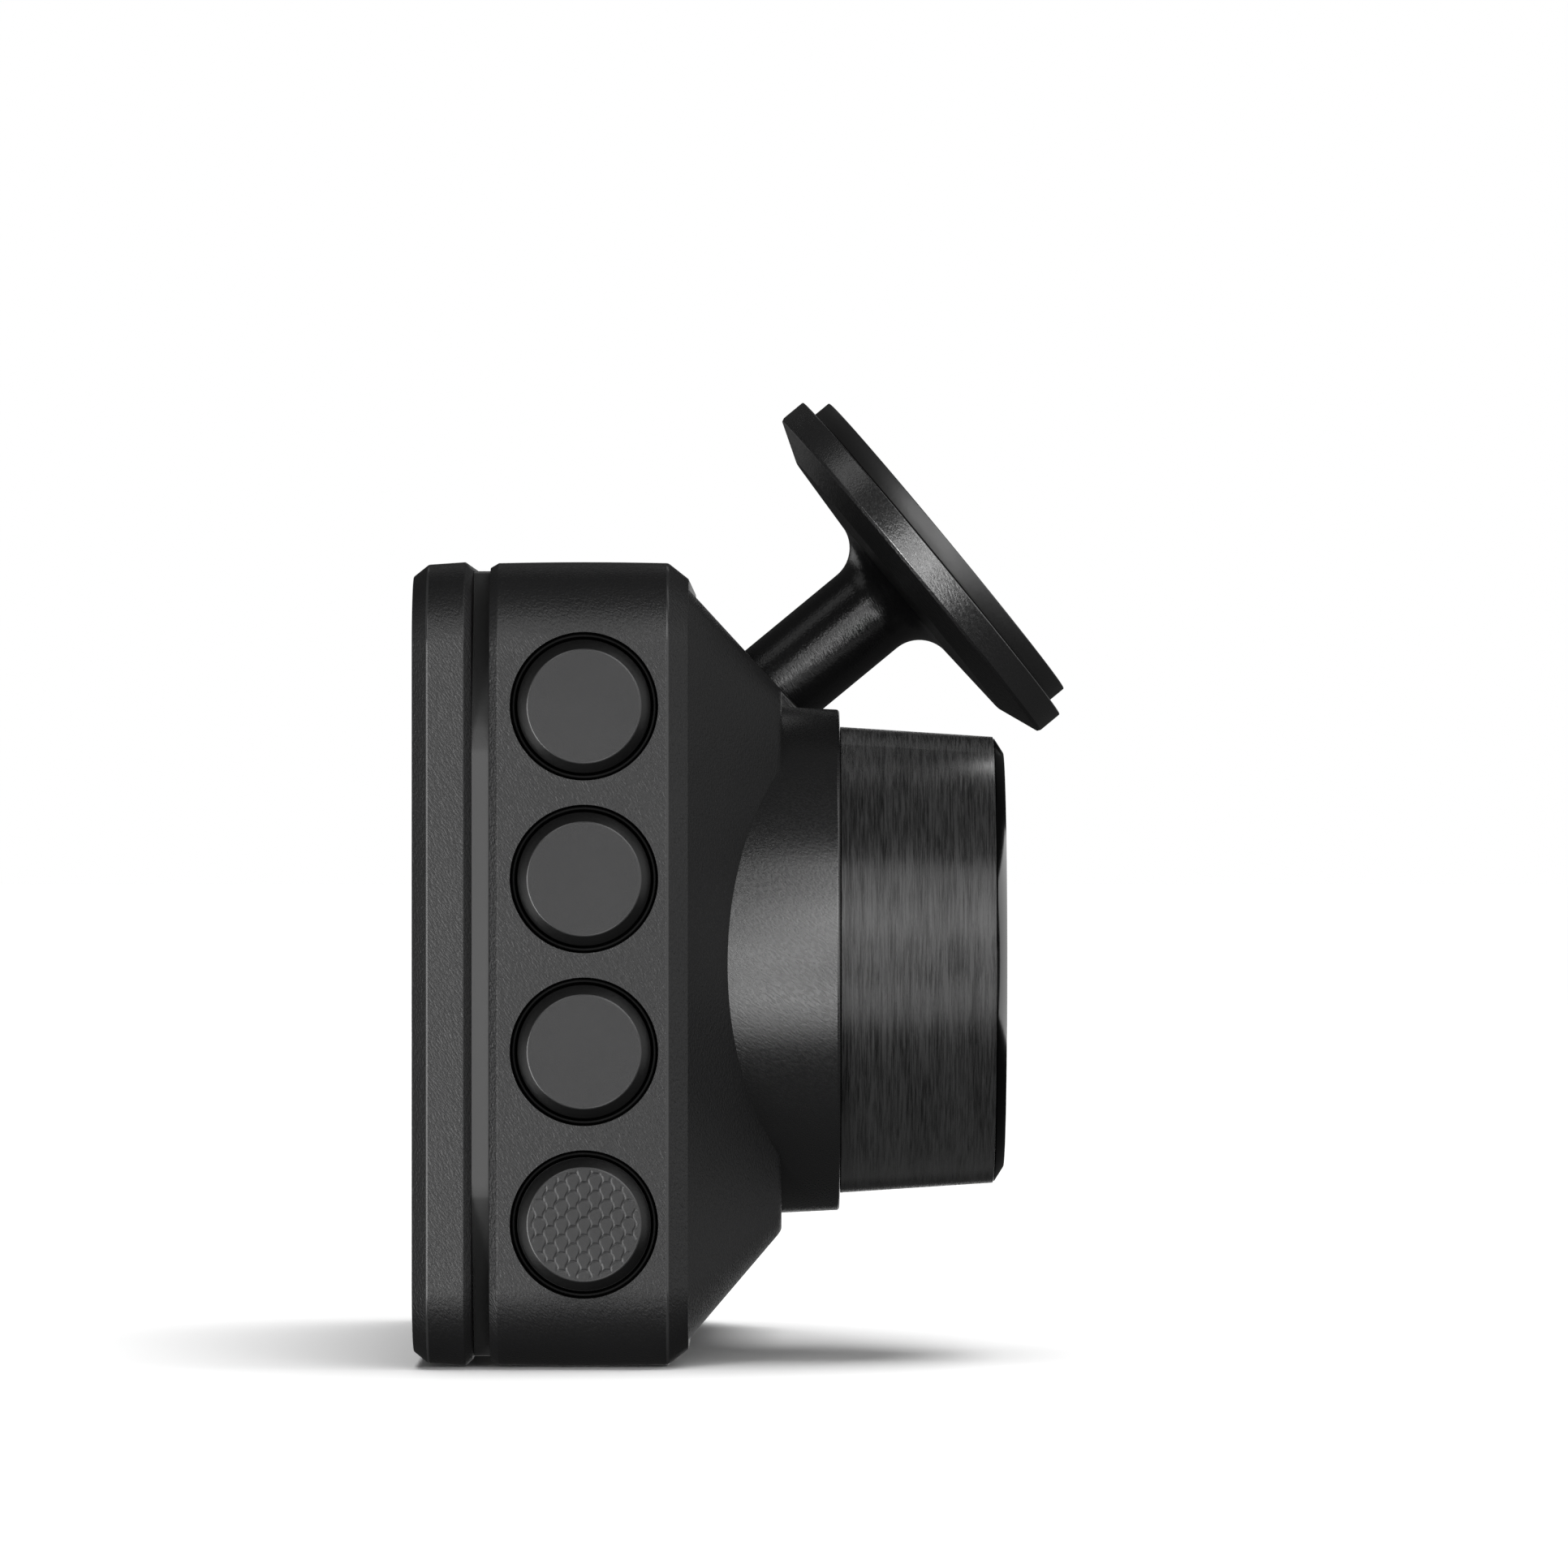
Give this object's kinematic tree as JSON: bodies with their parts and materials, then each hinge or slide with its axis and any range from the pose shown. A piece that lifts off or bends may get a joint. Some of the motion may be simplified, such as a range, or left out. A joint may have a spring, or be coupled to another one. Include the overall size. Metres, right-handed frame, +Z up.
{
  "type": "dash camera",
  "caption": "Compact dash camera with a side button column, a stepped brushed lens ring and a magnetic ball mount that ends in a round adhesive disc.",
  "frame": {"origin": "on the flat underside of the front housing, midway across the body", "axes": "+X the way the lens looks, the buttons on the -Y side, +Z up"},
  "size_m": [0.0395, 0.061, 0.0584],
  "materials": {
    "shell": "fine leather-like moulded grain, satin",
    "band": "polished black",
    "glass": "gloss black backed glass",
    "button": "smooth satin face",
    "brushed": "black anodised, brushed round the lens",
    "lens": "polished, coated",
    "insert": "matte black moulding",
    "board": "solder mask",
    "chip": "moulded package",
    "steel": "plated, brushed",
    "aluminium": "satin",
    "rubber": "matte",
    "pad": "matte acrylic foam with a smooth face",
    "light": "frosted light pipe"
  },
  "bodies": {
    "camera": {"front_housing": "shell", "rear_bezel": "shell", "mid_frame": "band", "display_glass": "glass", "cover_glass": "glass", "lens_ring": "brushed", "rear_lens": "lens", "middle_lens": "lens", "front_lens": "lens", "lens_barrel": "insert", "light_baffle": "insert", "lens_retainer": "insert", "port_tongue": "insert", "speaker": "insert", "positioning_module": "insert", "power_coil": "insert", "main_board": "board", "sensor_board": "board", "button_board": "board", "processor": "chip", "memory_chip": "chip", "display_panel": "chip", "image_sensor": "chip", "backlight_plate": "steel", "microphone": "steel", "port_shell": "steel", "card_socket": "steel", "socket_magnet": "steel", "tact_switch_1": "steel", "tact_switch_2": "steel", "tact_switch_3": "steel", "tact_switch_4": "steel", "case_screw_1": "steel", "case_screw_2": "steel", "case_screw_3": "steel", "case_screw_4": "steel", "heat_spreader": "aluminium", "backup_cell": "aluminium", "seal_ring": "rubber", "button_membrane": "rubber", "status_light": "light"},
    "button_1": {"button_1": "button"},
    "button_2": {"button_2": "button"},
    "button_3": {"button_3": "button"},
    "button_4": {"button_4": "button"},
    "memory_card": {"memory_card": "chip"},
    "socket_liner": {"socket_liner": "insert"},
    "mount_ball": {"mount_ball": "steel"},
    "ball_stud": {"ball_stud": "steel"},
    "mount_arm": {"mount_arm": "shell", "adhesive_pad": "pad"}
  },
  "joints": [
    {"name": "button_1_press", "type": "slide", "parent": "camera", "child": "button_1", "axis": [0, 1, 0], "range_m": [0, 0.0004], "stiffness_N_per_m": 400, "springref_m": -0.001},
    {"name": "button_2_press", "type": "slide", "parent": "camera", "child": "button_2", "axis": [0, 1, 0], "range_m": [0, 0.0004], "stiffness_N_per_m": 400, "springref_m": -0.001},
    {"name": "button_3_press", "type": "slide", "parent": "camera", "child": "button_3", "axis": [0, 1, 0], "range_m": [0, 0.0004], "stiffness_N_per_m": 400, "springref_m": -0.001},
    {"name": "button_4_press", "type": "slide", "parent": "camera", "child": "button_4", "axis": [0, 1, 0], "range_m": [0, 0.0004], "stiffness_N_per_m": 400, "springref_m": -0.001},
    {"name": "card_slide", "type": "slide", "parent": "camera", "child": "memory_card", "axis": [0, 1, 0], "range_m": [0, 0.014]},
    {"name": "mount_swivel", "type": "hinge", "parent": "camera", "child": "socket_liner", "pos_m": [0.00888, 0, 0.03857], "axis": [0.7266, 0, 0.6871], "range_deg": [-45, 45]},
    {"name": "mount_release", "type": "slide", "parent": "socket_liner", "child": "mount_ball", "axis": [0.7266, 0, 0.6871], "range_m": [0, 0.012]},
    {"name": "mount_tilt", "type": "hinge", "parent": "mount_ball", "child": "ball_stud", "pos_m": [0.00888, 0, 0.03857], "axis": [0, -1, 0], "range_deg": [-8, 18]},
    {"name": "mount_spin", "type": "hinge", "parent": "ball_stud", "child": "mount_arm", "pos_m": [0.00888, 0, 0.03857], "axis": [0.7716, 0, 0.6361], "continuous": true}
  ]
}
